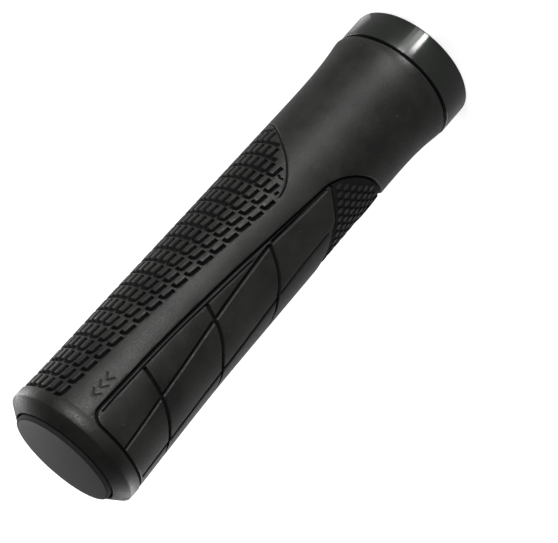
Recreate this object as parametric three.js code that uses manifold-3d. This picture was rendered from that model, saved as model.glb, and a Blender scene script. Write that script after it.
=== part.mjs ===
// A lock-on handlebar grip for the right-hand side of a mountain bike.
// A rubber sleeve is moulded on a plastic core, a split aluminium ring clamps the core's
// slotted collar to the handlebar, and a plug closes the far end.
// Millimetres. +Z runs along the grip from the clamp ring's end face to the closed end,
// +X points to the middle of the ribbed side and -X to the middle of the block panel.

import * as THREE from 'three';
import { mergeVertices } from 'three/addons/utils/BufferGeometryUtils.js';
import Module from 'manifold-3d';

const wasm = await Module();
wasm.setup();

// Handlebar, overall length and fits
const barDiameter = 22.2;
const barClearance = 0.1;
const gripLength = 136;
const seatGap = 0.3;

// Core: a thin tube with a slotted collar under the clamp and a shoulder behind it
const coreWall = 1.2;
const collarInset = 0.6;
const collarSlotCount = 4;
const collarSlotWidth = 1.6;
const shoulderRadius = 16;
const shoulderThickness = 0.6;
const keyWidth = 4;
const keyHeight = 1;
const keyLength = 2.4;

// Clamp ring, its slit and its bolt
const clampWall = 4.3;
const clampWidth = 8.6;
const clampChamfer = 0.45;
const slitAngle = THREE.MathUtils.degToRad(65);
const slitWidth = 1.2;
const boltFromBore = 1.8;
const boltRadius = 1.25;
const boltReach = 5.8;
const boltHeadRadius = 1.65;
const boltHeadLength = 2;
const boltHeadSeat = 2.5;
const boltSocketAcross = 2;
const boltSocketDepth = 1.2;
const counterboreRadius = 1.95;

// Rubber sleeve: outer form, from the lip behind the clamp to the flange at the closed end
const lipRadius = 17.1;
const lipLength = 2.6;
const lipRound = 0.5;
const waistRadius = 15.85;
const waistHeight = 30;
const bellyHeight = 95;
const bellyDrop = 1;
const flangeRadius = 17.5;
const flangeStep = 0.15;
const flangeLength = 3.5;
const endChamferLength = 2.4;
const endLandWidth = 0.3;
const palmShift = 0.4;
const palmShiftLength = 12;

// End plug: a low dome on a split spigot that holds in the core
const plugRadius = 13.5;
const plugGap = 0.35;
const plugRimThickness = 2.6;
const plugDome = 0.35;
const plugProud = 1;
const plugEdge = 0.6;
const spigotLength = 8;
const spigotWall = 1.3;
const spigotSlotCount = 4;
const spigotSlotWidth = 2;

// Ribbed side: rows round the grip and slanted columns along it, mirrored at the middle
const ribRowPitch = 4.09;
const ribRowWidth = 0.6;
const ribRowDepth = 0.6;
const ribColumnPitch = 12.9;
const ribColumnWidth = 0.6;
const ribColumnDepth = 0.5;
const ribFloorShare = 1;
const ribHalfWidth = 56;
const ribSlant = 0.36;
const ribArcStart = 40;
const ribArcRise = 18.5;
const ribArcHalfWidth = 83;
const ribArcMargin = 4;
const ribArcWidth = 0.55;
const ribArcDepth = 0.3;
const ribShortest = 3;

// Block panel: its border, the grooves that cross it and the grooves along it
const panelBorderWidth = 1.1;
const panelBorderDepth = 0.75;
const panelFloorShare = 0.6;
const panelCorner = 3;
const panelSideA = [[48, 75], [72, 83], [100, 91.6], [118, 95]];
const panelSideB = [[45, -66], [64, -76.5], [84, -84], [118, -89.5]];
const panelWaist = [[48, 75], [41, 60], [35, 28], [31.4, -16], [32.2, -50], [37, -62], [45, -66]];
const crossGrooveCount = 4;
const crossGroovePitch = 21.4;
const crossGrooveFirst = 17;
const crossGrooveWidth = 1.15;
const crossGrooveDepth = 0.7;
const crossGrooveRise = [[40, 4.2], [0, 9.8], [-40, 15.5]];
const crossGrooveSlant = 18;
const longGrooveWidth = 1.25;
const longGrooveDepth = 0.65;
const longGrooves = [
  { from: [70, 78], to: 57.4 },
  { from: [54, 38], to: 18 },
  { from: [60, -6], to: -15 },
  { from: [66, -44], to: -52 },
];

// Facets
const sleeveFacets = 40;
const ringFacets = 48;
const boltFacets = 24;
const sleeveSteps = 6;
const rowStep = 18;
const columnStep = 60;
const curveStep = 8;
const borderStep = 5;
const cutHeadroom = 1.5;
const weldDistance = 1e-4;

// Sizes that follow from the ones above
const boreRadius = barDiameter / 2 + barClearance;
const coreRadius = boreRadius + coreWall;
const clampBoreRadius = coreRadius + seatGap;
const clampRadius = clampBoreRadius + clampWall;
const boltOffset = clampBoreRadius + boltFromBore;
const bellyRadius = flangeRadius - bellyDrop;
const shoulderStart = clampWidth + seatGap;
const sleeveStart = shoulderStart + shoulderThickness;
const sleeveBoreRadius = coreRadius + seatGap;
const plugRimTop = gripLength - plugDome;
const plugSeat = plugRimTop - plugRimThickness;
const coreEnd = plugSeat - seatGap;
const sleeveEnd = plugRimTop - plugProud;
const pocketRadius = plugRadius + plugGap;
const flangeTop = sleeveEnd - endChamferLength;
const patternEnd = flangeTop - flangeLength;
const keyAngle = slitAngle + Math.PI;

// Profile of the sleeve's body, as radius and height, before the flange
const bodyProfile = sleeveBodyProfile();

function sleeveBodyProfile() {
  const lipTop = sleeveStart + lipLength;
  const curve = new THREE.SplineCurve([
    new THREE.Vector2(lipRadius, lipTop),
    new THREE.Vector2((lipRadius + 3 * waistRadius) / 4, (lipTop + waistHeight) / 2),
    new THREE.Vector2(waistRadius, waistHeight),
    new THREE.Vector2(bellyRadius, bellyHeight),
    new THREE.Vector2(flangeRadius - flangeStep, patternEnd),
  ]);
  return [
    new THREE.Vector2(lipRadius - lipRound, sleeveStart),
    new THREE.Vector2(lipRadius, sleeveStart + lipRound),
    ...curve.getPoints(sleeveSteps),
  ];
}

// Radius of the sleeve's body at a height, on the same straight steps as its profile
function bodyRadius(z) {
  const upper = bodyProfile.findIndex((point) => point.y >= z);
  if (upper < 0) return bodyProfile[bodyProfile.length - 1].x;
  if (upper === 0) return bodyProfile[0].x;
  const low = bodyProfile[upper - 1];
  const high = bodyProfile[upper];
  return THREE.MathUtils.mapLinear(z, low.y, high.y, low.x, high.x);
}

// The body's section moves towards the palm side past the lip, and back before the flange
function bodyShift(z) {
  const leave = THREE.MathUtils.smoothstep(z, sleeveStart, sleeveStart + palmShiftLength);
  const comeBack = THREE.MathUtils.smoothstep(z, bellyHeight, patternEnd);
  return palmShift * (leave - comeBack);
}

// A closed geometry as a solid, with its shared corners merged
function toSolid(geometry) {
  const bare = geometry.clone();
  bare.deleteAttribute('normal');
  bare.deleteAttribute('uv');
  const merged = mergeVertices(bare, weldDistance);
  const corners = merged.index.array;
  const faces = [];
  for (let i = 0; i < corners.length; i += 3) {
    const [a, b, c] = [corners[i], corners[i + 1], corners[i + 2]];
    if (a !== b && b !== c && c !== a) faces.push(a, b, c);
  }
  return new wasm.Manifold(new wasm.Mesh({
    numProp: 3,
    vertProperties: new Float32Array(merged.attributes.position.array),
    triVerts: new Uint32Array(faces),
  }));
}

function toGeometry(solid) {
  const mesh = solid.getMesh();
  const geometry = new THREE.BufferGeometry();
  geometry.setAttribute('position', new THREE.BufferAttribute(mesh.vertProperties, mesh.numProp));
  geometry.setIndex(new THREE.BufferAttribute(mesh.triVerts, 1));
  const flat = geometry.toNonIndexed();
  flat.computeVertexNormals();
  return flat;
}

function join(solids) {
  return solids.reduce((whole, solid) => whole.add(solid));
}

// A profile of [radius, height] points, turned once round the Z axis
function revolve(profile, facets) {
  const points = profile.map(([radius, height]) => new THREE.Vector2(radius, height));
  return new THREE.LatheGeometry(points, facets).rotateX(Math.PI / 2);
}

function disc(radius, bottom, top, facets) {
  return toSolid(revolve([[0, bottom], [radius, bottom], [radius, top], [0, top]], facets));
}

// A box that stands out from the Z axis at an angle, between two radii and two heights
function radialBox(angle, width, innerRadius, outerRadius, bottom, top) {
  const box = new THREE.BoxGeometry(outerRadius - innerRadius, width, top - bottom);
  box.translate((innerRadius + outerRadius) / 2, 0, (bottom + top) / 2);
  return toSolid(box.rotateZ(angle));
}

// A point of the flat pattern: the angle is in degrees round the grip from the middle of
// the block panel, and turns into arc length at the waist's radius
function flat(angle, height) {
  return new THREE.Vector2(THREE.MathUtils.degToRad(angle) * waistRadius, height);
}

// Lays a flat pattern round the sleeve. Its third coordinate is the height over the surface.
function wrapRound(geometry) {
  const position = geometry.attributes.position;
  for (let i = 0; i < position.count; i++) {
    const angle = position.getX(i) / waistRadius - Math.PI;
    const height = position.getY(i);
    const radius = bodyRadius(height) + position.getZ(i);
    position.setX(i, radius * Math.cos(angle) + bodyShift(height));
    position.setY(i, radius * Math.sin(angle));
    position.setZ(i, height);
  }
  return geometry;
}

// A groove along a curve of the flat pattern, with its width at the surface. Its walls lean
// out, so the floor is a share of that width: none of it makes a V.
function groove(curve, width, depth, floorShare, step) {
  const steps = Math.max(1, Math.ceil(curve.getLength() / step));
  const strip = new THREE.BoxGeometry(1, width, depth + cutHeadroom, steps, 1, 1);
  strip.translate(0.5, 0, (cutHeadroom - depth) / 2);
  const position = strip.attributes.position;
  for (let i = 0; i < position.count; i++) {
    const along = THREE.MathUtils.clamp(position.getX(i), 0, 1);
    const lean = floorShare + (1 - floorShare) * (position.getZ(i) + depth) / depth;
    const across = position.getY(i) * lean;
    const point = curve.getPointAt(along);
    const tangent = curve.getTangentAt(along);
    position.setX(i, point.x - tangent.y * across);
    position.setY(i, point.y + tangent.x * across);
  }
  return toSolid(wrapRound(strip));
}

// Ribbed side

// Half of the ribbed side's width in degrees at a height, up to the arc at its waist end
function ribReach(z) {
  const slanted = ribHalfWidth + ribSlant * (patternEnd - z);
  const overArc = Math.max(0, (z - ribArcStart) / ribArcRise);
  return Math.min(slanted, ribArcHalfWidth * Math.sqrt(overArc) - ribArcMargin);
}

function ribRows() {
  const rows = [];
  for (let z = patternEnd; ribReach(z) > ribShortest; z -= ribRowPitch) {
    const reach = ribReach(z);
    const row = new THREE.LineCurve(flat(180 - reach, z), flat(180 + reach, z));
    const step = THREE.MathUtils.degToRad(rowStep) * waistRadius;
    rows.push(groove(row, ribRowWidth, ribRowDepth, ribFloorShare, step));
  }
  return rows;
}

// A column stays at one distance from the zone's slanted edge, until it meets its mirror
// image at the middle or the arc at the waist end
function ribColumns() {
  const columns = [];
  const widest = ribHalfWidth + ribSlant * (patternEnd - ribArcStart);
  for (let inset = 0; inset < widest; inset += ribColumnPitch) {
    const offset = (z) => ribHalfWidth + ribSlant * (patternEnd - z) - inset;
    const top = Math.min(patternEnd, patternEnd + (ribHalfWidth - inset) / ribSlant);
    let bottom = top;
    while (offset(bottom) <= ribReach(bottom) + ribColumnWidth && bottom > ribArcStart) {
      bottom -= ribColumnWidth;
    }
    if (top - bottom < ribRowPitch) continue;
    for (const side of [-1, 1]) {
      const low = flat(180 + side * offset(bottom), bottom);
      const high = flat(180 + side * offset(top), top);
      const line = new THREE.LineCurve(low, high);
      columns.push(groove(line, ribColumnWidth, ribColumnDepth, ribFloorShare, columnStep));
    }
  }
  return columns;
}

function ribArc() {
  const arc = new THREE.QuadraticBezierCurve(
    flat(180 - ribArcHalfWidth, ribArcStart + ribArcRise),
    flat(180, ribArcStart - ribArcRise),
    flat(180 + ribArcHalfWidth, ribArcStart + ribArcRise),
  );
  return groove(arc, ribArcWidth, ribArcDepth, ribFloorShare, curveStep);
}

// Block panel

function splineThrough(points) {
  return new THREE.SplineCurve(points.map(([height, angle]) => flat(angle, height)));
}

// The panel's side edge at a height, in degrees
function sideAngle(side, z) {
  const upper = side.findIndex(([height]) => height >= z);
  if (upper < 0) return side[side.length - 1][1];
  if (upper === 0) return side[0][1];
  const [low, high] = [side[upper - 1], side[upper]];
  return THREE.MathUtils.mapLinear(z, low[0], high[0], low[1], high[1]);
}

function panelBorder() {
  const endA = panelSideA[panelSideA.length - 1][1];
  const endB = panelSideB[panelSideB.length - 1][1];
  const cornerAngle = THREE.MathUtils.radToDeg(panelCorner / waistRadius);
  const loop = new THREE.Path();
  const [firstA, ...restA] = [...panelSideA, [patternEnd - panelCorner, endA]];
  loop.moveTo(flat(firstA[1], firstA[0]).x, firstA[0]);
  loop.splineThru(restA.map(([height, angle]) => flat(angle, height)));
  const cornerA = flat(endA, patternEnd);
  const afterA = flat(endA - cornerAngle, patternEnd);
  loop.quadraticCurveTo(cornerA.x, cornerA.y, afterA.x, afterA.y);
  const beforeB = flat(endB + cornerAngle, patternEnd);
  loop.lineTo(beforeB.x, beforeB.y);
  const cornerB = flat(endB, patternEnd);
  const afterB = flat(endB, patternEnd - panelCorner);
  loop.quadraticCurveTo(cornerB.x, cornerB.y, afterB.x, afterB.y);
  loop.splineThru([...panelSideB].reverse().map(([height, angle]) => flat(angle, height)));
  return [
    groove(loop, panelBorderWidth, panelBorderDepth, panelFloorShare, borderStep),
    groove(splineThrough(panelWaist), panelBorderWidth, panelBorderDepth, panelFloorShare, curveStep),
  ];
}

function crossGrooves() {
  const grooves = [];
  for (let i = 0; i < crossGrooveCount; i++) {
    const start = patternEnd - crossGrooveFirst - i * crossGroovePitch;
    const end = Math.min(start + crossGrooveSlant, patternEnd);
    const points = [[start, sideAngle(panelSideA, start)]];
    for (const [angle, rise] of crossGrooveRise) {
      if (start + rise < patternEnd) points.push([start + rise, angle]);
    }
    points.push([end, sideAngle(panelSideB, end)]);
    const curve = splineThrough(points);
    grooves.push(groove(curve, crossGrooveWidth, crossGrooveDepth, panelFloorShare, curveStep));
  }
  return grooves;
}

function alongGrooves() {
  return longGrooves.map(({ from, to }) => {
    const line = new THREE.LineCurve(flat(from[1], from[0]), flat(to, patternEnd));
    return groove(line, longGrooveWidth, longGrooveDepth, panelFloorShare, columnStep);
  });
}

// Sleeve

function sleeveBody() {
  const profile = [
    [0, sleeveStart],
    ...bodyProfile.map((point) => [point.x, point.y]),
    [0, patternEnd],
  ];
  const body = revolve(profile, sleeveFacets);
  const position = body.attributes.position;
  for (let i = 0; i < position.count; i++) {
    position.setX(i, position.getX(i) + bodyShift(position.getZ(i)));
  }
  const flange = revolve([
    [0, patternEnd - endLandWidth],
    [flangeRadius - endLandWidth, patternEnd - endLandWidth],
    [flangeRadius, patternEnd],
    [flangeRadius, flangeTop],
    [pocketRadius + endLandWidth, sleeveEnd],
    [0, sleeveEnd],
  ], sleeveFacets);
  return toSolid(body).add(toSolid(flange));
}

function rubberSleeve() {
  const relief = join([
    ...ribRows(),
    ...ribColumns(),
    ribArc(),
    ...panelBorder(),
    ...crossGrooves(),
    ...alongGrooves(),
  ]);
  const bore = disc(sleeveBoreRadius, sleeveStart - 1, gripLength, ringFacets);
  const pocket = disc(pocketRadius, coreEnd, gripLength, ringFacets);
  return sleeveBody().subtract(relief).subtract(bore).subtract(pocket);
}

// Core

function coreSleeve() {
  let core = join([
    disc(coreRadius, collarInset, coreEnd, ringFacets),
    disc(shoulderRadius, shoulderStart, sleeveStart, ringFacets),
    radialBox(
      keyAngle, keyWidth, boreRadius, coreRadius + keyHeight,
      shoulderStart - keyLength, sleeveStart,
    ),
  ]);
  for (let i = 0; i < collarSlotCount; i++) {
    const angle = slitAngle + (i + 0.5) * (2 * Math.PI / collarSlotCount);
    core = core.subtract(radialBox(
      angle, collarSlotWidth, 0, shoulderRadius + 1, collarInset - 1, shoulderStart - seatGap,
    ));
  }
  return core.subtract(disc(boreRadius, collarInset - 1, coreEnd + 1, ringFacets));
}

// End plug

function endPlug() {
  const spigotRadius = boreRadius - seatGap;
  const spigotEnd = plugSeat - spigotLength;
  const domeRise = plugDome / 4;
  const body = toSolid(revolve([
    [0, spigotEnd],
    [spigotRadius - plugEdge, spigotEnd],
    [spigotRadius, spigotEnd + plugEdge],
    [spigotRadius, plugSeat],
    [plugRadius, plugSeat],
    [plugRadius, plugRimTop - plugEdge],
    [plugRadius - plugEdge, plugRimTop],
    [plugRadius / 2, gripLength - domeRise],
    [0, gripLength],
  ], ringFacets));
  const hollow = disc(spigotRadius - spigotWall, spigotEnd - 1, plugSeat, ringFacets);
  let plug = body.subtract(hollow);
  for (let i = 0; i < spigotSlotCount; i++) {
    const angle = i * (2 * Math.PI / spigotSlotCount);
    plug = plug.subtract(radialBox(
      angle, spigotSlotWidth, 0, plugRadius + 1, spigotEnd - 1, plugSeat - spigotWall,
    ));
  }
  return plug;
}

// Clamp ring and bolt, drawn with the slit on the X axis and the bolt along the Y axis

function boltHole(radius, from, to) {
  const hole = new THREE.CylinderGeometry(radius, radius, to - from, boltFacets);
  hole.translate(boltOffset, (from + to) / 2, clampWidth / 2);
  return toSolid(hole);
}

function clampRing() {
  const ring = toSolid(revolve([
    [clampBoreRadius, 0],
    [clampRadius - clampChamfer, 0],
    [clampRadius, clampChamfer],
    [clampRadius, clampWidth - clampChamfer],
    [clampRadius - clampChamfer, clampWidth],
    [clampBoreRadius, clampWidth],
    [clampBoreRadius, 0],
  ], ringFacets));
  const notch = radialBox(
    Math.PI, keyWidth + 2 * seatGap, clampBoreRadius - 1, coreRadius + keyHeight + seatGap,
    shoulderStart - keyLength - seatGap, clampWidth + 1,
  );
  return ring
    .subtract(radialBox(0, slitWidth, 0, clampRadius + 1, -1, clampWidth + 1))
    .subtract(boltHole(boltRadius + seatGap, -boltReach - seatGap, boltHeadSeat))
    .subtract(boltHole(counterboreRadius, boltHeadSeat - seatGap, clampRadius))
    .subtract(notch);
}

// The bolt stands on its axis, with its seat under the head at the origin
function clampBolt() {
  const bolt = toSolid(revolve([
    [0, -boltHeadSeat - boltReach],
    [boltRadius, -boltHeadSeat - boltReach],
    [boltRadius, 0],
    [boltHeadRadius, 0],
    [boltHeadRadius, boltHeadLength],
    [0, boltHeadLength],
  ], boltFacets));
  const socketRadius = boltSocketAcross / Math.sqrt(3);
  const socket = new THREE.CylinderGeometry(socketRadius, socketRadius, boltSocketDepth * 2, 6);
  socket.rotateX(Math.PI / 2);
  socket.translate(0, 0, boltHeadLength);
  return bolt.subtract(toSolid(socket));
}

// Materials

const rubber = new THREE.MeshStandardMaterial({ color: 0x26272a, roughness: 0.72, metalness: 0 });
const nylon = new THREE.MeshStandardMaterial({ color: 0x1c1d1f, roughness: 0.55, metalness: 0 });
const plugPlastic = new THREE.MeshStandardMaterial({ color: 0x232426, roughness: 0.5, metalness: 0 });
const anodised = new THREE.MeshStandardMaterial({ color: 0x1a1f1d, roughness: 0.25, metalness: 0.9 });
const steel = new THREE.MeshStandardMaterial({ color: 0xb4b6b8, roughness: 0.3, metalness: 1 });

function piece(name, solid, material) {
  const mesh = new THREE.Mesh(toGeometry(solid), material);
  mesh.name = name;
  return mesh;
}

// Assembly

const group = new THREE.Group();
group.add(piece('rubber_sleeve', rubberSleeve(), rubber));
group.add(piece('core_sleeve', coreSleeve(), nylon));
group.add(piece('end_plug', endPlug(), plugPlastic));

const clamp = new THREE.Group();
clamp.rotation.z = slitAngle;
clamp.add(piece('clamp_ring', clampRing(), anodised));
const bolt = piece('clamp_bolt', clampBolt(), steel);
bolt.position.set(boltOffset, boltHeadSeat, clampWidth / 2);
bolt.rotation.x = -Math.PI / 2;
clamp.add(bolt);
group.add(clamp);

export default group;
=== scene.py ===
"""Looks of a lock-on handlebar grip, laid over the solids of the CAD part.

The relief of the rubber sleeve is drawn flat, as the mould's engraver would draw it, then laid
round the body and cut into it. Sizes are millimetres and angles are degrees until a mesh is made.
In the flat drawing an angle is counted round the grip from the middle of the block panel (-X):
the camera's side is 90 and the middle of the ribs (+X) is 180.
"""

import bmesh
import bpy
import numpy as np
from mathutils import Matrix, Vector


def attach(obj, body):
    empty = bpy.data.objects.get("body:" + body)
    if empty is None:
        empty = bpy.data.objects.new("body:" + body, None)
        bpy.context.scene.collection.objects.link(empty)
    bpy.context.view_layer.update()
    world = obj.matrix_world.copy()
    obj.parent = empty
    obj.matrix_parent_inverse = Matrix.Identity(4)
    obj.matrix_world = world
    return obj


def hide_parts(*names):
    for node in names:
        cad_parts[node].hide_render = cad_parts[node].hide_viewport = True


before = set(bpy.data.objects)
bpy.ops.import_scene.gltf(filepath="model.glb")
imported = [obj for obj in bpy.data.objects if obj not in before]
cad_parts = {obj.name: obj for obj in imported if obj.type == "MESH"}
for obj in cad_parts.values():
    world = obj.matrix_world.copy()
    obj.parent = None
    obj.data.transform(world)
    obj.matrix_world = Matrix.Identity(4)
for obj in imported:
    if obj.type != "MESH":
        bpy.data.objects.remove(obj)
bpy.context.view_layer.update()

MM = 0.001

# Handlebar, overall length and fits
bar_radius = 11.1
bar_clearance = 0.1
grip_length = 136
seat_gap = 0.3

# Core
core_wall = 1.2
collar_inset = 0.6
collar_slots = 4
collar_slot_width = 1.6
collar_edge = 0.25
bore_edge = 0.2
shoulder_radius = 16
shoulder_thickness = 0.6
key_width = 4
key_height = 1
key_length = 2.4
key_root = 0.3
key_overlap = 0.2

# Clamp ring, its slit and its bolt. The soft edges take the sharpness off the chamfers.
clamp_wall = 4.3
clamp_width = 8.6
clamp_chamfer = 0.45
clamp_soft_edge = 0.12
clamp_rubber_side_chamfer = 0.06
clamp_rubber_side_soft_edge = 0.04
slit_angle = 65
slit_width = 1.2
bolt_from_bore = 1.8
bolt_radius = 1.25
bolt_reach = 5.8
bolt_tip_edge = 0.3
bolt_head_radius = 1.65
bolt_head_length = 2
bolt_head_edge = 0.2
bolt_head_seat = 2.5
bolt_socket_across = 2
bolt_socket_depth = 1.2
counterbore_radius = 1.95

# Sleeve's body as (height, radius), and the shift of its section towards the palm
body_profile = [
    (11.9, 16.75), (14, 16.45), (18, 16.1), (23, 15.9), (30, 15.85), (42, 15.96), (65, 16.18),
    (95, 16.5), (118, 17.0), (128.75, 17.35),
]
lip_radius = 17
lip_length = 2.4
lip_round = 0.5
waist_radius = 15.85
palm_shift = 0.4
shift_starts = -7
shift_ends = 21.5
shift_fades = 95
flange_radius = 17.5
flange_length = 3.5
flange_step = 0.3
flange_edge_width = 0.15
flange_edge_length = 0.2
end_chamfer_length = 2.4
pocket_edge_width = 0.3
pocket_edge_depth = 0.35

# End plug
plug_radius = 13.5
plug_gap = 0.35
plug_rim_thickness = 2.6
plug_seat_edge = 0.2
plug_dome = 0.35
plug_proud = 1
plug_round = 0.5
spigot_length = 8
spigot_wall = 1.3
spigot_edge = 0.4
spigot_floor_inset = 0.01
spigot_slots = 4
spigot_slot_width = 2

# Ribbed side: hooked ribs on a lattice. Its edge and arc are lists of (height, angle from the
# middle), and the stubs beside it are lists of (height, angle). The least sizes say where rows,
# their whole grooves and their inner legs stop.
rib_row_pitch = 4.09
rib_column_pitch = 8.6
rib_edge_points = [
    (40, 89.5), (63.5, 82.3), (75.5, 77), (88, 72), (100, 67.2), (112.3, 62.5), (128.75, 57.3),
]
rib_arc = [
    (39.8, 0), (40, 10), (41, 23), (42.3, 32), (44, 42), (46, 51.5), (48, 60.5), (50, 68),
    (52, 74), (54.5, 80), (56.5, 82.8), (58.8, 84.2),
]
rib_arc_margin = 3.5
rib_least_arc = 14
rib_least_reach = 4
rib_least_leg_angle = 3
rib_leg_along = 3.2
rib_legs_round = [5.2, 5.8, 7]
rib_bend = 0.8
rib_stubs = [[(57.6, 99.4), (58.9, 100.4)], [(54.3, 103.6), (54.5, 107), (54, 109.5)]]

# Groove sizes: width at the top, width of the floor, depth, left bevel and right bevel
rib_hook_groove = (1.05, 0.5, 1.1, 0.05, 0.05)
rib_row_groove = (1.3, 0.75, 1, 0.05, 0.05)
rib_leg_groove = (1.25, 0.75, 1.05, 0.05, 0.05)
rib_stub_groove = (0.6, 0.4, 0.8, 0.12, 0.12)
rib_arc_groove = (0.4, 0.2, 0.5, 0.1, 0.2)
border_groove = (0.8, 0.45, 0.95, 0.1, 0.12)
inner_border_groove = (0.35, 0.2, 0.5, 0.25, 0.06)
waist_edge_groove = (0.8, 0.5, 1, 0.15, 0.15)
cross_groove = (1, 0.6, 1.05, 0.12, 0.12)
long_groove = (0.75, 0.4, 0.95, 0.36, 0.12)
faint_groove = (0.5, 0.3, 0.4, 0.35, 0.35)
mark_groove = (0.4, 0.3, 0.25, 0.05, 0.05)

# Block panel: each groove is a list of (height, angle)
side_a = [(48, 71.6), (60, 76), (68, 79), (80, 83.3), (90, 86.2), (100, 88.8), (110, 91), (120, 92.4)]
side_b = [(45, -66), (64, -76.5), (84, -84), (118, -89.5)]
waist_edge = [
    (48, 71.5), (46.5, 69.8), (44.8, 67.6), (43, 64.3), (41, 59), (39, 52.3), (37, 43),
    (35.3, 29), (34, 10), (32, -16), (32.2, -50), (37, -62), (45, -66),
]
cross_grooves = [
    [(46.9, 69), (48.5, 60), (50, 50), (51, 42), (53, 35), (54.5, 28), (60, 0), (66, -35), (68, -78)],
    [
        (68.9, 76.5), (70, 68), (71.5, 55), (73.5, 42), (75, 35), (76.7, 22), (78.5, 12), (84, -35),
        (87.5, -63), (88, -84),
    ],
    [
        (90.5, 83), (91.5, 72), (92.5, 60), (94, 48), (96, 35), (97.3, 22), (99, 10), (105, -35),
        (107.5, -55), (108, -87),
    ],
    [
        (111.8, 87.5), (113, 70), (114, 57), (115.5, 42), (117, 28), (118.5, 15), (121, -10),
        (125, -40), (126.5, -55), (127.6, -66),
    ],
]
long_grooves = [
    [(48.6, 70.6), (60, 73.6), (68.4, 76.3)],
    [(69.5, 76), (80, 73.3), (90, 70), (103, 65), (112, 62.4), (120, 59.8), (128.3, 57.5)],
    [(74.8, 34.3), (80, 32.5), (90, 28.7), (98, 26.4), (105, 25), (113, 23.3), (128, 20.5)],
    [(60, -3), (75, -6.5), (90, -10), (100, -12), (128, -15)],
    [(66, -44.5), (78, -47.5), (90, -50), (100, -50.5), (128, -52)],
]
faint_grooves = [[(54.6, 38), (64, 37.3), (74, 35)]]
panel_corner = 3
panel_corner_angles = (93.2, -89.7)
inner_border = [(75, 78), (80, 79.6), (90, 82.7), (100, 85.9), (110, 88), (120, 89.6), (126, 89.8)]

# Dots in the sunk area at the panel's waist end, and the plain band that crosses them. The area
# takes the first cross groove's points between the ends, counted from the far side.
sunk_depth = 0.5
sunk_groove_ends = (4, -1)
dot_start = (41.8, 37.8)
dot_pitch_along = 2.65
dot_pitch_round = 6.2
dot_lean = 1.6
dot_size = (1.4, 2.6, 0.66)
dot_margin = 1.1
dot_rows = range(-18, 6)
dot_columns = range(-20, 30)
dot_heights = (30, 72)
band = [(36, 10), (39, 0), (43, -15), (47, -32), (49, -38), (54, -70)]
band_width = 1.5
band_foot = 0.1
band_root = 0.3
band_step = 0.3

# Mark: three small arrowheads
mark_heights = (118, 120.4, 122.8)
mark_rise = 1.6
mark_angles = (98.5, 102.5, 106.5)

# Facets and steps
body_facets = 200
body_step = 1.6
body_curve_points = 160
bore_step = 12
bore_margins = (4, 8)
ring_facets = 160
bolt_facets = 48
plug_round_points = 7
plug_dome_points = 9
corner_points = 9
rib_bend_points = 5
rib_path_points = 60
steps_between_knots = 24
path_step = 0.8
border_step = 3
groove_step = 0.9
recess_slices = (0.8, 3)
slice_tolerance = 1e-7

# Cutters: how far they pass the surface, and how steep a groove's shoulders are
headroom = 1.2
overshoot = 1
bevel_slope = 0.6
widest_plain_shoulder = 0.2
wide_shoulder_depths = (0.2, 0.8)

# A rounding's middle point lies this share of its radius from the corner's sides
round_middle = 0.3

# The rubber's painted shade in the relief and its roughness follow the depth under the outside, up to
# this depth and this far past the pattern's end
most_depth = 2
depth_margin = 0.5

# Sizes that follow from the ones above
bore_radius = bar_radius + bar_clearance
core_radius = bore_radius + core_wall
clamp_bore = core_radius + seat_gap
clamp_radius = clamp_bore + clamp_wall
bolt_offset = clamp_bore + bolt_from_bore
shoulder_start = clamp_width + seat_gap
sleeve_start = shoulder_start + shoulder_thickness
sleeve_bore = core_radius + seat_gap
plug_rim_top = grip_length - plug_dome
plug_seat = plug_rim_top - plug_rim_thickness
core_end = plug_seat - seat_gap
sleeve_end = plug_rim_top - plug_proud
pocket_radius = plug_radius + plug_gap
flange_top = sleeve_end - end_chamfer_length
pattern_end = flange_top - flange_length
key_angle = slit_angle + 180

# Camera, and the lamps in metres and watts: name, place, aim, width, height, power
camera_place = (-0.0092, -0.4541, 0.2541)
camera_right = (-0.7549, -0.2508, -0.606)
camera_up = (0.6558, -0.2887, -0.6975)
camera_lens = 132.95
camera_azimuth = -91.16
softboxes = [
    ("main softbox", (0.23, -0.53, 0.08), (0, 0, 0.06), 0.12, 0.15, 4.3),
    ("left back softbox", (-0.44, 0.4, 0.17), (-0.05, 0.05, 0.06), 0.45, 0.24, 2.7),
    ("right back softbox", (0.44, 0.4, 0.17), (0.05, 0.05, 0.06), 0.45, 0.24, 3.5),
    ("end softbox", (0.05, 0.12, 0.2), (0, 0, 0.136), 0.04, 0.04, 0.034),
]

# Lights on the floor. Panel: name, azimuth, near end, far end, width, radiance. Strips that the
# clamp ring mirrors: name, azimuth, width, radiance.
front_panel = ("lower front panel", -63, 55, 340, 42, 4.8)
ring_strips = [
    ("streak strip", -85, 1.25, 30),
    ("bright glow strip", -80.5, 1.5, 6),
    ("faint glow strip", -76, 1.3, 2.5),
    ("side strip", -20, 2.6, 1.15),
]
ring_strip_ends = (0.4, 16)
floor_light_lift = 0.2
floor_reach = 3000


# Curves and surfaces


def through(points, count):
    """Evenly spaced points on a smooth curve through the given ones."""
    knots = np.array(points, float)
    padded = np.vstack([2 * knots[0] - knots[1], knots, 2 * knots[-1] - knots[-2]])
    fine = []
    for before, start, end, after in zip(padded, padded[1:], padded[2:], padded[3:]):
        for t in np.linspace(0, 1, steps_between_knots, endpoint=False):
            fine.append(0.5 * (
                2 * start + (end - before) * t
                + (2 * before - 5 * start + 4 * end - after) * t ** 2
                + (3 * start - before - 3 * end + after) * t ** 3
            ))
    fine = np.array(fine + [knots[-1]])
    reached = np.concatenate([[0], np.cumsum(np.linalg.norm(np.diff(fine, axis=0), axis=1))])
    at = np.linspace(0, reached[-1], count)
    return np.column_stack([np.interp(at, reached, fine[:, axis]) for axis in range(knots.shape[1])])


body_curve = through(body_profile, body_curve_points)


def body_radius(z):
    """The sleeve's radius at a height."""
    return np.interp(z, body_curve[:, 0], body_curve[:, 1])


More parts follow.
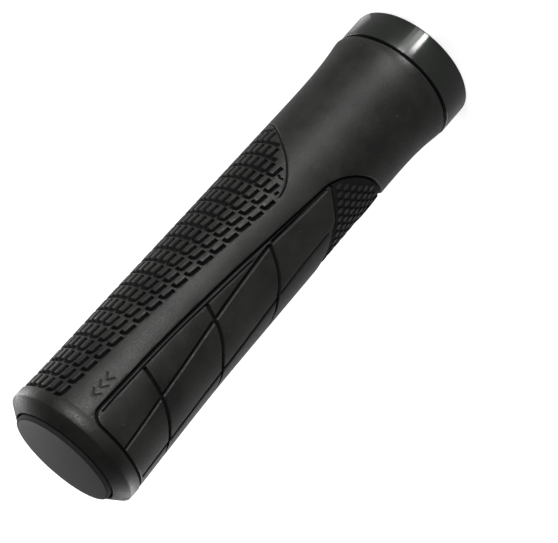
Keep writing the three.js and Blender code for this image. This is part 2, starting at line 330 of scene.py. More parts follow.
def smooth_step(value, start, end):
    """From 0 at the start to 1 at the end, without a kink."""
    t = np.clip((value - start) / (end - start), 0, 1)
    return t * t * (3 - 2 * t)


def body_shift(z):
    """How far the sleeve's section is moved towards the palm (+X) at a height."""
    comes = smooth_step(z, shift_starts, shift_ends)
    goes = smooth_step(z, shift_fades, pattern_end)
    return palm_shift * (comes - goes)


def flat(angle, z):
    """A point of the flat drawing: arc length at the waist's radius, and height."""
    return np.array([np.radians(angle) * waist_radius, z])


def flat_path(points, spacing=path_step):
    """A smooth path in the flat drawing through places given as (height, angle)."""
    path = np.array([flat(angle, z) for z, angle in points])
    length = np.linalg.norm(np.diff(path, axis=0), axis=1).sum()
    return through(path, max(3, int(length / spacing)))


def wrap_round(points):
    """Lays flat points round the sleeve. Their third number is the height over its surface."""
    along, z, over = np.array(points, float).T
    angle = along / waist_radius - np.pi
    radius = body_radius(z) + over
    return np.column_stack([radius * np.cos(angle) + body_shift(z), radius * np.sin(angle), z])


# Meshes


def new_object(name, data):
    made = bpy.data.objects.new(name, data)
    bpy.context.collection.objects.link(made)
    return made


def mesh_object(name, points, edges=(), faces=(), turn=None):
    """An object from points in millimetres, turned into place where a turn is given."""
    mesh = bpy.data.meshes.new(name)
    mesh.from_pydata((np.array(points, float) * MM).tolist(), list(edges), list(faces))
    if turn is not None:
        mesh.transform(turn)
    return new_object(name, mesh)


def lathe(name, profile, facets, closed=False, turn=None):
    """A profile of (radius, height) turned round the Z axis. A closed one makes a ring."""
    points, rings = [], []
    angles = np.arange(facets) * 2 * np.pi / facets
    for radius, z in profile:
        start = len(points)
        if radius == 0:
            points.append((0, 0, z))
            rings.append([start] * facets)
        else:
            points += [(radius * np.cos(a), radius * np.sin(a), z) for a in angles]
            rings.append(list(range(start, start + facets)))
    if closed:
        rings.append(rings[0])
    faces = []
    for low, high in zip(rings, rings[1:]):
        for i in range(facets):
            j = (i + 1) % facets
            corners = [low[i], low[j], high[j], high[i]]
            faces.append(list(dict.fromkeys(corners)))
    return mesh_object(name, points, faces=faces, turn=turn)


def block(name, low, high, turn=None):
    """A box between two corners."""
    xs, ys, zs = zip(low, high)
    corners = [(x, y, z) for z in zs for y in ys for x in xs]
    faces = [(0, 2, 3, 1), (4, 5, 7, 6), (0, 1, 5, 4), (2, 6, 7, 3), (0, 4, 6, 2), (1, 3, 7, 5)]
    return mesh_object(name, corners, faces=faces, turn=turn)


def about_z(angle):
    """A turn about the grip's axis."""
    return Matrix.Rotation(np.radians(angle), 4, "Z")


def bake(made):
    """Applies an object's modifiers to its mesh."""
    graph = bpy.context.evaluated_depsgraph_get()
    mesh = bpy.data.meshes.new_from_object(made.evaluated_get(graph), depsgraph=graph)
    made.modifiers.clear()
    made.data = mesh


def combine(target, operation, tools):
    """Cuts tools from the target, or joins them to it, and removes them."""
    for tool in tools:
        modifier = target.modifiers.new("combine", "BOOLEAN")
        modifier.operation = operation
        modifier.solver = "MANIFOLD"
        modifier.object = tool
        bake(target)
        bpy.data.objects.remove(tool)


def note_depth(sleeve):
    """Keeps each point's depth under the sleeve's outside as an attribute, in millimetres."""
    points = np.array([v.co for v in sleeve.data.vertices]) / MM
    x, y, z = points.T
    depth = body_radius(z) - np.hypot(x - body_shift(z), y)
    depth[(z < sleeve_start + lip_length) | (z > pattern_end + depth_margin)] = 0
    kept = sleeve.data.attributes.new("depth", "FLOAT", "POINT")
    kept.data.foreach_set("value", np.clip(depth, 0, most_depth).astype(np.float32))


def finish_piece(piece, name, material, node, crease=40):
    """Names a piece, gives it its finish and shading, and puts it on the frame."""
    piece.name = name
    piece.data.materials.clear()
    piece.data.materials.append(material)
    piece.data.shade_smooth()
    piece.data.set_sharp_from_angle(angle=np.radians(crease))
    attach(piece, "root")
    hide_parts(node)


# Node trees


def add_node(tree, kind, settings=None, inputs=None):
    """Adds a node with its settings. An input takes a value or another node's output."""
    node = tree.nodes.new(kind)
    for key, value in (settings or {}).items():
        setattr(node, key, value)
    for key, value in (inputs or {}).items():
        if isinstance(value, bpy.types.NodeSocket):
            tree.links.new(value, node.inputs[key])
        else:
            node.inputs[key].default_value = value
    return node


def linear(colour):
    """An sRGB hex colour as linear RGBA."""
    channels = [int(colour[i:i + 2], 16) / 255 for i in (1, 3, 5)]
    return [c / 12.92 if c <= 0.04045 else ((c + 0.055) / 1.055) ** 2.4 for c in channels] + [1]


def new_material(name):
    material = bpy.data.materials.new(name)
    material.use_nodes = True
    material.node_tree.nodes.clear()
    return material, material.node_tree


# Materials


def moulded_rubber():
    """Black natural rubber from a spark-eroded mould: dull, softly bright at a low angle, with a
    fine grain, faint cloudy patches and a little pale dust. Deep in the relief it is duller, and
    its colour is painted blacker there as painted shade."""
    material, tree = new_material("moulded rubber")
    grain_size = 0.42 * MM
    patch_size = 9 * MM
    dust_spacing = 4.2 * MM
    speck_share = 0.035
    place = add_node(tree, "ShaderNodeTexCoord").outputs["Object"]
    patches = add_node(tree, "ShaderNodeTexNoise", inputs={
        "Vector": place, "Scale": 1 / patch_size, "Detail": 3, "Roughness": 0.6,
    })
    tone = add_node(tree, "ShaderNodeValToRGB", inputs={"Fac": patches.outputs["Fac"]})
    tone.color_ramp.elements[0].position = 0.35
    tone.color_ramp.elements[0].color = linear("#0d0d0c")
    tone.color_ramp.elements[1].position = 0.68
    tone.color_ramp.elements[1].color = linear("#1b1b19")
    dust = add_node(tree, "ShaderNodeTexVoronoi", inputs={"Vector": place, "Scale": 1 / dust_spacing})
    speck = add_node(tree, "ShaderNodeMath", {"operation": "LESS_THAN"}, {
        0: dust.outputs["Distance"], 1: speck_share,
    })
    dusty = add_node(tree, "ShaderNodeMix", {"data_type": "RGBA"}, {
        "Factor": speck.outputs[0], 6: tone.outputs["Color"], 7: linear("#383835"),
    })
    grain = add_node(tree, "ShaderNodeTexNoise", inputs={
        "Vector": place, "Scale": 1 / grain_size, "Detail": 2, "Roughness": 0.5,
    })
    bump = add_node(tree, "ShaderNodeBump", inputs={
        "Strength": 0.7, "Distance": 0.06 * MM, "Height": grain.outputs["Fac"],
    })
    rough = add_node(tree, "ShaderNodeMapRange", inputs={
        "Value": grain.outputs["Fac"], "From Min": 0.3, "From Max": 0.7,
        "To Min": 0.38, "To Max": 0.56,
    })
    # Depth in the relief paints the colour near black, as painted shade, and raises the roughness.
    sunk = add_node(tree, "ShaderNodeMapRange", inputs={
        "Value": add_node(tree, "ShaderNodeAttribute", {"attribute_name": "depth"}).outputs["Fac"],
        "From Min": 0.1, "From Max": 0.5,
    }).outputs["Result"]
    colour_with_painted_shade = add_node(tree, "ShaderNodeMix", {"data_type": "RGBA"}, {
        "Factor": sunk, 6: dusty.outputs[2], 7: linear("#030303"),
    })
    dull = add_node(tree, "ShaderNodeMix", {"data_type": "FLOAT"}, {
        "Factor": sunk, 2: rough.outputs["Result"], 3: 1,
    })
    shader = add_node(tree, "ShaderNodeBsdfPrincipled", inputs={
        "Base Color": colour_with_painted_shade.outputs[2], "Roughness": dull.outputs[0],
        "IOR": 1.5, "Specular IOR Level": 0.22, "Normal": bump.outputs["Normal"],
    })
    add_node(tree, "ShaderNodeOutputMaterial", inputs={"Surface": shader.outputs["BSDF"]})
    return material


def satin_nylon(name, colour, roughness, side_radius=None, side_shade_colour=None):
    """Black glass-filled nylon from a finely textured mould: even and satin. With a side shade
    colour, it is dull from the side radius outwards and painted that colour there as painted shade."""
    material, tree = new_material(name)
    texture_size = 0.3 * MM
    side_blend = 0.1
    place = add_node(tree, "ShaderNodeTexCoord").outputs["Object"]
    texture = add_node(tree, "ShaderNodeTexNoise", inputs={
        "Vector": place, "Scale": 1 / texture_size, "Detail": 2,
    })
    bump = add_node(tree, "ShaderNodeBump", inputs={
        "Strength": 0.25, "Distance": 0.02 * MM, "Height": texture.outputs["Fac"],
    })
    base = linear(colour)
    if side_shade_colour:
        across = add_node(tree, "ShaderNodeVectorMath", {"operation": "MULTIPLY"}, {
            0: place, 1: (1, 1, 0),
        })
        radius = add_node(tree, "ShaderNodeVectorMath", {"operation": "LENGTH"}, {
            0: across.outputs["Vector"],
        })
        # From the side radius outwards the colour is painted dark, as painted shade, and the roughness
        # rises.
        side = add_node(tree, "ShaderNodeMapRange", inputs={
            "Value": radius.outputs["Value"],
            "From Min": (side_radius - side_blend) * MM, "From Max": side_radius * MM,
        })
        base = add_node(tree, "ShaderNodeMix", {"data_type": "RGBA"}, {
            "Factor": side.outputs["Result"], 6: base, 7: linear(side_shade_colour),
        }).outputs[2]
        roughness = add_node(tree, "ShaderNodeMapRange", inputs={
            "Value": side.outputs["Result"], "To Min": roughness, "To Max": 1,
        }).outputs["Result"]
    shader = add_node(tree, "ShaderNodeBsdfPrincipled", inputs={
        "Base Color": base, "Roughness": roughness, "IOR": 1.53,
        "Normal": bump.outputs["Normal"],
    })
    add_node(tree, "ShaderNodeOutputMaterial", inputs={"Surface": shader.outputs["BSDF"]})
    return material


def anodised_aluminium():
    """Turned aluminium, polished and anodised black: glossy, nearly black with a green cast, and
    with faint turning lines round it."""
    material, tree = new_material("black anodised aluminium")
    line_spacing = 0.25 * MM
    line_stretch = 0.02
    place = add_node(tree, "ShaderNodeTexCoord").outputs["Object"]
    squeezed = add_node(tree, "ShaderNodeMapping", inputs={
        "Vector": place, "Scale": (line_stretch, line_stretch, 1),
    })
    lines = add_node(tree, "ShaderNodeTexNoise", inputs={
        "Vector": squeezed.outputs["Vector"], "Scale": 1 / line_spacing, "Detail": 2,
    })
    rough = add_node(tree, "ShaderNodeMapRange", inputs={
        "Value": lines.outputs["Fac"], "To Min": 0.2, "To Max": 0.28,
    })
    turning = add_node(tree, "ShaderNodeTangent", {"direction_type": "RADIAL", "axis": "Z"})
    shader = add_node(tree, "ShaderNodeBsdfPrincipled", inputs={
        "Base Color": linear("#131613"), "Metallic": 0.15, "Roughness": rough.outputs["Result"],
        "IOR": 1.5, "Specular IOR Level": 0.5, "Anisotropic": 0.8, "Anisotropic Rotation": 0.25,
        "Tangent": turning.outputs["Tangent"],
    })
    add_node(tree, "ShaderNodeOutputMaterial", inputs={"Surface": shader.outputs["BSDF"]})
    return material


def zinc_plated_steel():
    """Rolled steel screw, bright zinc plated: a bluish silver, a little cloudy."""
    material, tree = new_material("bright zinc plated steel")
    cloud_size = 1.5 * MM
    place = add_node(tree, "ShaderNodeTexCoord").outputs["Object"]
    clouds = add_node(tree, "ShaderNodeTexNoise", inputs={
        "Vector": place, "Scale": 1 / cloud_size, "Detail": 3,
    })
    rough = add_node(tree, "ShaderNodeMapRange", inputs={
        "Value": clouds.outputs["Fac"], "To Min": 0.22, "To Max": 0.36,
    })
    shader = add_node(tree, "ShaderNodeBsdfPrincipled", inputs={
        "Base Color": linear("#b6bac0"), "Metallic": 1, "Roughness": rough.outputs["Result"],
    })
    add_node(tree, "ShaderNodeOutputMaterial", inputs={"Surface": shader.outputs["BSDF"]})
    return material


rubber = moulded_rubber()
core_nylon = satin_nylon("black nylon of the core", "#17181a", 0.5)
# The plug's side, in the gap round it, is painted near black as painted shade.
plug_nylon = satin_nylon(
    "black nylon of the plug", "#252524", 0.54, plug_radius - plug_round, "#020202",
)
anodised = anodised_aluminium()
zinc_steel = zinc_plated_steel()


# Groove cutters


def section_object(name, outline):
    """A closed outline in millimetres that is swept along a path: first number to the path's
    right, second outwards. A curve's own second axis points inwards there, hence the sign."""
    curve = bpy.data.curves.new(name, "CURVE")
    curve.dimensions = "2D"
    spline = curve.splines.new("POLY")
    spline.points.add(len(outline) - 1)
    for point, (x, y) in zip(spline.points, outline[::-1]):
        point.co = (x * MM, -y * MM, 0, 1)
    spline.use_cyclic_u = True
    return new_object(name, curve)


def groove_outline(width, floor, depth, left, right):
    """A groove's section: a floor, leaning walls, and shoulders that take off its two edges.
    A wide shoulder is rounded in two steps."""
    middle_depth, inner_depth = wide_shoulder_depths
    sides = []
    for shoulder in (left, right):
        side = [(width / 2 + shoulder, headroom), (width / 2 + shoulder, 0)]
        if shoulder > widest_plain_shoulder:
            side += [
                (width / 2 + shoulder / 2, -middle_depth * shoulder),
                (width / 2, -inner_depth * shoulder),
            ]
        else:
            side.append((width / 2, -bevel_slope * shoulder))
        sides.append(side + [(floor / 2, -depth)])
    return [(-x, y) for x, y in sides[0]] + sides[1][::-1]


def new_tree(name, inputs, output):
    """A Geometry Nodes tree with named inputs and one named geometry output."""
    tree = bpy.data.node_groups.new(name, "GeometryNodeTree")
    for socket, kind in inputs.items():
        tree.interface.new_socket(socket, in_out="INPUT", socket_type="NodeSocket" + kind)
    tree.interface.new_socket(output, in_out="OUTPUT", socket_type="NodeSocketGeometry")
    return tree, add_node(tree, "NodeGroupInput").outputs


def sweep_tree():
    """Sweeps a section along every path that it is given."""
    tree, given = new_tree("section along paths", {
        "Paths": "Geometry", "Section": "Object", "Step": "Float", "Material": "Material",
    }, "Swept")
    paths = add_node(tree, "GeometryNodeMeshToCurve", inputs={"Mesh": given["Paths"]})
    evened = add_node(tree, "GeometryNodeResampleCurve", {"mode": "LENGTH"}, {
        "Curve": paths.outputs["Curve"], "Length": given["Step"],
    })
    level = add_node(tree, "GeometryNodeSetCurveNormal", {"mode": "Z_UP"}, {
        "Curve": evened.outputs["Curve"],
    })
    section = add_node(tree, "GeometryNodeObjectInfo", inputs={"Object": given["Section"]})
    swept = add_node(tree, "GeometryNodeCurveToMesh", inputs={
        "Curve": level.outputs["Curve"], "Profile Curve": section.outputs["Geometry"],
        "Fill Caps": True,
    })
    real = add_node(tree, "GeometryNodeRealizeInstances", inputs={"Geometry": swept.outputs["Mesh"]})
    coated = add_node(tree, "GeometryNodeSetMaterial", inputs={
        "Geometry": real.outputs["Geometry"], "Material": given["Material"],
    })
    add_node(tree, "NodeGroupOutput", inputs={"Swept": coated.outputs["Geometry"]})
    return tree


def dots_tree():
    """Puts a low pad on each point, longer along the grip than round it."""
    tree, given = new_tree("dots at points", {
        "Points": "Geometry", "Size": "Vector", "Material": "Material",
    }, "Dots")
    pad = add_node(tree, "GeometryNodeMeshCone", inputs={
        "Vertices": 14, "Radius Top": 0.32, "Radius Bottom": 0.5, "Depth": 1,
    })
    placed = add_node(tree, "GeometryNodeInstanceOnPoints", inputs={
        "Points": given["Points"], "Instance": pad.outputs["Mesh"], "Scale": given["Size"],
    })
    real = add_node(tree, "GeometryNodeRealizeInstances", inputs={"Geometry": placed.outputs["Instances"]})
    coated = add_node(tree, "GeometryNodeSetMaterial", inputs={
        "Geometry": real.outputs["Geometry"], "Material": given["Material"],
    })
    add_node(tree, "NodeGroupOutput", inputs={"Dots": coated.outputs["Geometry"]})
    return tree


sweep_along_paths = sweep_tree()
dots_at_points = dots_tree()


def set_inputs(modifier, values):
    """Sets a tree's inputs by the identifiers of their sockets."""
    for item in modifier.node_group.interface.items_tree:
        if item.item_type == "SOCKET" and item.in_out == "INPUT" and item.name in values:
            modifier[item.identifier] = values[item.name]


def lay_round(made):
    """Lays a flat cutter round the sleeve."""
    points = np.array([v.co for v in made.data.vertices]) / MM
    made.data.vertices.foreach_set("co", (wrap_round(points) * MM).astype(np.float32).ravel())
    made.data.update()
    return made


def swept(name, paths, outline, step=groove_step):
    """Solids with one outline along flat paths, laid round the sleeve."""
    points, edges = [], []
    for path in paths:
        start = len(points)
        points += [(x, y, 0) for x, y in path]
        edges += [(start + i, start + i + 1) for i in range(len(path) - 1)]
    made = mesh_object(name, points, edges=edges)
    section = section_object(name + " section", outline)
    modifier = made.modifiers.new("sweep", "NODES")
    modifier.node_group = sweep_along_paths
    set_inputs(modifier, {"Section": section, "Step": step * MM, "Material": rubber})
    bake(made)
    bpy.data.objects.remove(section)
    return lay_round(made)


def grooves(name, paths, sizes, step=groove_step):
    """Cutters for grooves along flat paths, with one of the groove sizes."""
    return swept(name, paths, groove_outline(*sizes), step)


def dots(name, places, size):
    """Pads at flat places, laid round the sleeve and sunk half in its floor."""
    made = mesh_object(name, [(x, y, -sunk_depth - size[2] / 2) for x, y in places])
    modifier = made.modifiers.new("dots", "NODES")
    modifier.node_group = dots_at_points
    set_inputs(modifier, {"Size": [side * MM for side in size], "Material": rubber})
    bake(made)
    return lay_round(made)


def recess(name, outline, depth):
    """A cutter that sinks the area inside a flat outline. It is sliced so that it can bend."""
    shape = bmesh.new()
    low = [shape.verts.new((x * MM, y * MM, -depth * MM)) for x, y in outline]
    base = shape.faces.new(low)
    grown = bmesh.ops.extrude_face_region(shape, geom=[base])["geom"]
    top = [v for v in grown if isinstance(v, bmesh.types.BMVert)]
    bmesh.ops.translate(shape, verts=top, vec=(0, 0, (depth + headroom) * MM))
    for axis, step in enumerate(recess_slices):
        normal = [float(axis == i) for i in range(3)]
        reached = [place[axis] for place in outline]
        for at in np.arange(min(reached) + step, max(reached), step):
            parts = shape.verts[:] + shape.edges[:] + shape.faces[:]
            bmesh.ops.bisect_plane(
                shape, geom=parts, plane_co=[part * at * MM for part in normal], plane_no=normal,
                dist=slice_tolerance,
            )
    bmesh.ops.triangulate(shape, faces=shape.faces[:])
    bmesh.ops.recalc_face_normals(shape, faces=shape.faces[:])
    mesh = bpy.data.meshes.new(name)
    shape.to_mesh(mesh)
    shape.free()
    return lay_round(new_object(name, mesh))


# Ribbed side


def rib_edge(z):
    """Angle from the ribs' middle to their slanted edge."""
    heights, angles = zip(*rib_edge_points)
    return float(np.interp(z, heights, angles))


def rib_arc_reach(z):
    """Angle from the ribs' middle to the arc. Past the arc's end it is all round."""
    heights, angles = zip(*rib_arc)
    return float(np.interp(z, heights, angles, left=0, right=180))


def inside_arc(angle, z):
    """Whether a place is clear of the arc, on the ribs' side of it."""
    return abs(angle) < rib_arc_reach(z) - rib_arc_margin


def rib_hook(z, offset, leg_round, side):
    """An L with a rounded corner: one leg along the grip, then one round it to the middle."""
    low = z - rib_leg_along
    lean = rib_edge(low) - rib_edge(z)
    bend = np.degrees(rib_bend / waist_radius)
    turns = np.radians(np.linspace(0, 90, rib_bend_points))
    points = [(offset + lean, low)]
    points += [(offset - bend * (1 - np.cos(t)), z - rib_bend * (1 - np.sin(t))) for t in turns]
    points += [(offset - leg_round, z)]
    return [flat(180 + side * angle, height) for angle, height in points]


def rib_paths():
    """Hooks in the outer columns, then whole rows with a leg along the grip at each column."""
    hooks, rows, legs = [], [], []
    hook_columns = len(rib_legs_round)
    z = pattern_end
    while rib_arc_reach(z) > rib_least_arc:
        low, edge = z - rib_leg_along, rib_edge(z)
        lean = rib_edge(low) - edge
        for side in (-1, 1):
            for column in range(int(edge / rib_column_pitch) + 1):
                offset = edge - column * rib_column_pitch
                if column < hook_columns:
                    if inside_arc(offset, (low + z) / 2):
                        hooks.append(rib_hook(z, offset, rib_legs_round[column], side))
                elif offset > rib_least_leg_angle and inside_arc(offset + lean, low):
                    legs.append([flat(180 + side * (offset + lean), low), flat(180 + side * offset, z)])
        reach = min(edge - hook_columns * rib_column_pitch, rib_arc_reach(z) - rib_arc_margin)
        if reach > rib_least_reach:
            rows.append([flat(180 + a, z) for a in np.linspace(-reach, reach, rib_path_points)])
        z -= rib_row_pitch
    return hooks, rows, legs


def rib_arc_path():
    half = through([flat(180 - angle, z) for z, angle in rib_arc], rib_path_points)
    other = through([flat(180 + angle, z) for z, angle in rib_arc], rib_path_points)
    return list(half[::-1]) + list(other[1:])


# Block panel


def border_path():
    """Up the panel's side towards the ribs, round its corners and down the far side."""
    turn = np.degrees(panel_corner / waist_radius)
    low = pattern_end - panel_corner
    end_a, end_b = panel_corner_angles
    turns = np.radians(np.linspace(0, 90, corner_points))
    rounded = [(turn * (1 - np.cos(t)), low + panel_corner * np.sin(t)) for t in turns]
    up = flat_path(side_a + [(low, end_a)])
    corner_a = [flat(end_a - away, z) for away, z in rounded[1:]]
    starts, stops = end_a - turn - border_step, end_b + turn + border_step / 2
    across = [flat(angle, pattern_end) for angle in np.arange(starts, stops, -border_step)]
    corner_b = [flat(end_b + away, z) for away, z in rounded[::-1]]
    down = flat_path(side_b + [(low, end_b)])[::-1]
    return np.array(list(up) + corner_a + across + corner_b + list(down[1:]))


def sunk_outline():
    """The dotted area at the waist, from the panel's edge to the first cross groove, whose ends
    pass that edge."""
    first, last = sunk_groove_ends
    return list(flat_path(waist_edge)) + list(flat_path(cross_grooves[0])[::-1][first:last])


def inside(point, outline):
    """Whether a flat point lies inside a closed outline."""
    x, y = point
    found = False
    for (x1, y1), (x2, y2) in zip(outline, np.roll(outline, -1, axis=0)):
        if (y1 > y) != (y2 > y) and x < x1 + (y - y1) * (x2 - x1) / (y2 - y1):
            found = not found
    return found


def dot_places():
    """A leaning lattice over the sunk area, clear of its edge and of the plain band."""
    outline = np.array(sunk_outline())
    strip = flat_path(band, band_step)
    lowest, highest = dot_heights
    places = []
    for row in dot_rows:
        for column in dot_columns:
            z = dot_start[0] + column * dot_pitch_along + row * dot_lean
            if not lowest < z < highest:
                continue
            point = flat(dot_start[1] + row * dot_pitch_round, z)
            from_edge = np.linalg.norm(outline - point, axis=1).min()
            from_band = np.linalg.norm(strip - point, axis=1).min()
            clear = from_edge > dot_margin and from_band > dot_margin + band_width / 2
            if clear and inside(point, outline):
                places.append(point)
    return places


def mark_paths():
    """Three small arrowheads that point to the closed end."""
    low_side, tip, high_side = mark_angles
    return [
        [flat(low_side, z), flat(tip, z + mark_rise), flat(high_side, z)] for z in mark_heights
    ]


# Sleeve


def sleeve_body():
    """The sleeve without its relief. Its outside is moved towards the palm."""
    heights = np.arange(sleeve_start + lip_length, pattern_end, body_step)
    profile = [
        (sleeve_bore, sleeve_start),
        (lip_radius - lip_round, sleeve_start),
        (lip_radius - round_middle * lip_round, sleeve_start + round_middle * lip_round),
        (lip_radius, sleeve_start + lip_round),
    ]
    profile += [(float(body_radius(z)), float(z)) for z in heights]
    profile += [
        (float(body_radius(pattern_end)), pattern_end),
        (flange_radius, pattern_end + flange_step),
        (flange_radius, flange_top - flange_edge_length),
        (flange_radius - flange_edge_width, flange_top),
        (pocket_radius + pocket_edge_width, sleeve_end),
        (pocket_radius, sleeve_end - pocket_edge_depth),
        (pocket_radius, core_end),
        (sleeve_bore, core_end),
    ]
    low_margin, high_margin = bore_margins
    bore_rings = np.arange(core_end - high_margin, sleeve_start + low_margin, -bore_step)
    profile += [(sleeve_bore, float(z)) for z in bore_rings]
    sleeve = lathe("rubber sleeve", profile, body_facets, closed=True)
    points = np.array([v.co for v in sleeve.data.vertices]) / MM
    x, y, z = points.T
    outside = (np.hypot(x, y) > waist_radius - 1) & (z < pattern_end + flange_step / 2)
    points[:, 0] += np.where(outside, body_shift(z), 0)
    sleeve.data.vertices.foreach_set("co", (points * MM).astype(np.float32).ravel())
    return sleeve


def rubber_sleeve():
    sleeve = sleeve_body()
    hooks, rows, legs = rib_paths()
    tools = [
        grooves("rib hooks", hooks, rib_hook_groove, step=0.3),
        grooves("rib rows", rows, rib_row_groove),
        grooves("rib legs", legs, rib_leg_groove, step=0.5),
        grooves("rib stubs", [flat_path(p) for p in rib_stubs], rib_stub_groove, step=0.4),
        grooves("rib arc", [rib_arc_path()], rib_arc_groove),
        recess("sunk area", sunk_outline(), sunk_depth),
        grooves("panel border", [border_path()], border_groove),
        grooves("inner border", [flat_path(inner_border)], inner_border_groove),
        grooves("panel waist edge", [flat_path(waist_edge)], waist_edge_groove),
        grooves("cross grooves", [flat_path(p) for p in cross_grooves], cross_groove),
        grooves("long grooves", [flat_path(p) for p in long_grooves], long_groove),
        grooves("faint grooves", [flat_path(p) for p in faint_grooves], faint_groove),
        grooves("mark", mark_paths(), mark_groove, step=0.3),
    ]
    combine(sleeve, "DIFFERENCE", tools)
    top, foot, root = band_width / 2, band_width / 2 + band_foot, -sunk_depth - band_root
    plain_band = swept("plain band", [flat_path(band)], [
        (-top, 0), (-foot, root), (foot, root), (top, 0),
    ])
    combine(sleeve, "UNION", [dots("dots", dot_places(), dot_size), plain_band])
    note_depth(sleeve)
    finish_piece(sleeve, "moulded_sleeve", rubber, "rubber_sleeve")


# Hard pieces


def core_sleeve():
    core = lathe("core", [
        (bore_radius + bore_edge, collar_inset), (core_radius - collar_edge, collar_inset),
        (core_radius, collar_inset + collar_edge), (core_radius, shoulder_start),
        (shoulder_radius, shoulder_start), (shoulder_radius, sleeve_start),
        (core_radius, sleeve_start), (core_radius, core_end), (bore_radius, core_end),
        (bore_radius, collar_inset + bore_edge),
    ], ring_facets, closed=True)
    key_ends = (
        (bore_radius + key_root, -key_width / 2, shoulder_start - key_length),
        (core_radius + key_height, key_width / 2, shoulder_start + key_overlap),
    )
    combine(core, "UNION", [block("key", *key_ends, about_z(key_angle))])
    slots = []
    for i in range(collar_slots):
        slots.append(block(
            "slot", (0, -collar_slot_width / 2, -overshoot),
            (shoulder_radius + overshoot, collar_slot_width / 2, shoulder_start - seat_gap),
            about_z(slit_angle + (i + 0.5) * 360 / collar_slots),
        ))
    combine(core, "DIFFERENCE", slots)
    finish_piece(core, "core_tube", core_nylon, "core_sleeve")


def end_plug():
    spigot_radius = bore_radius - seat_gap
    spigot_end = plug_seat - spigot_length
    hollow_radius = spigot_radius - spigot_wall
    hollow_end = plug_seat - spigot_floor_inset
    profile = [
        (0, hollow_end), (hollow_radius, hollow_end), (hollow_radius, spigot_end),
        (spigot_radius - spigot_edge, spigot_end), (spigot_radius, spigot_end + spigot_edge),
        (spigot_radius, plug_seat), (plug_radius - plug_seat_edge, plug_seat),
        (plug_radius, plug_seat + plug_seat_edge),
    ]
    for t in np.radians(np.linspace(0, 90, plug_round_points)):
        profile.append((
            plug_radius - plug_round * (1 - np.cos(t)), plug_rim_top - plug_round * (1 - np.sin(t)),
        ))
    rim = plug_radius - plug_round
    for radius in np.linspace(rim, 0, plug_dome_points)[1:]:
        profile.append((float(radius), grip_length - plug_dome * (radius / rim) ** 2))
    plug = lathe("plug", profile, ring_facets)
    slots = []
    for i in range(spigot_slots // 2):
        slots.append(block(
            "slot", (-spigot_radius - overshoot, -spigot_slot_width / 2, spigot_end - overshoot),
            (spigot_radius + overshoot, spigot_slot_width / 2, plug_seat - spigot_wall),
            about_z(i * 360 / spigot_slots),
        ))
    combine(plug, "DIFFERENCE", slots)
    finish_piece(plug, "capped_plug", plug_nylon, "end_plug", crease=50)


def along_bolt(name, profile, facets=bolt_facets):
    """A shape turned about the bolt's axis, with its heights counted from the head's seat."""
    place = Matrix.Translation(Vector((bolt_offset, bolt_head_seat, clamp_width / 2)) * MM)
    turn = about_z(slit_angle) @ place @ Matrix.Rotation(-np.pi / 2, 4, "X")
    return lathe(name, profile, facets, turn=turn)


def clamp_ring():
    outline = []
    edges = (
        (0, 1, clamp_chamfer, clamp_soft_edge),
        (clamp_width, -1, clamp_rubber_side_chamfer, clamp_rubber_side_soft_edge),
    )
    for z, way, edge, soft in edges:
        middle = round_middle * soft
        corner = [
            (clamp_bore, z + way * soft), (clamp_bore + soft, z),
            (clamp_radius - edge - soft, z), (clamp_radius - edge, z + way * middle),
            (clamp_radius - middle, z + way * edge), (clamp_radius, z + way * (edge + soft)),
        ]
        outline += corner if way > 0 else corner[::-1]
    ring = lathe("ring", outline, ring_facets, closed=True)
    hole_end = -bolt_head_seat - bolt_reach - seat_gap
    hole_radius = bolt_radius + seat_gap
    above = clamp_width + overshoot
    slit_ends = (0, -slit_width / 2, -overshoot), (clamp_radius + overshoot, slit_width / 2, above)
    notch_ends = (
        (clamp_bore - overshoot, -key_width / 2 - seat_gap, shoulder_start - key_length - seat_gap),
        (core_radius + key_height + seat_gap, key_width / 2 + seat_gap, above),
    )
    tools = [
        block("slit", *slit_ends, about_z(slit_angle)),
        along_bolt("bolt hole", [(0, hole_end), (hole_radius, hole_end), (hole_radius, 0), (0, 0)]),
        along_bolt("counterbore", [
            (0, -seat_gap), (counterbore_radius, -seat_gap),
            (counterbore_radius, clamp_radius), (0, clamp_radius),
        ]),
        block("notch", *notch_ends, about_z(key_angle)),
    ]
    combine(ring, "DIFFERENCE", tools)
    finish_piece(ring, "split_ring", anodised, "clamp_ring", crease=35)


def clamp_bolt():
    tip, top = -bolt_head_seat - bolt_reach, bolt_head_length
    bolt = along_bolt("bolt", [
        (0, tip), (bolt_radius - bolt_tip_edge, tip), (bolt_radius, tip + bolt_tip_edge),
        (bolt_radius, 0), (bolt_head_radius, 0), (bolt_head_radius, top - bolt_head_edge),
        (bolt_head_radius - bolt_head_edge, top), (0, top),
    ])
    socket_radius = bolt_socket_across / np.sqrt(3)
    socket = along_bolt("socket", [
        (0, top - bolt_socket_depth), (socket_radius, top - bolt_socket_depth),
        (socket_radius, top + overshoot), (0, top + overshoot),
    ], facets=6)
    combine(bolt, "DIFFERENCE", [socket])
    finish_piece(bolt, "socket_bolt", zinc_steel, "clamp_bolt", crease=35)


rubber_sleeve()
core_sleeve()
end_plug()
clamp_ring()
clamp_bolt()


# Studio


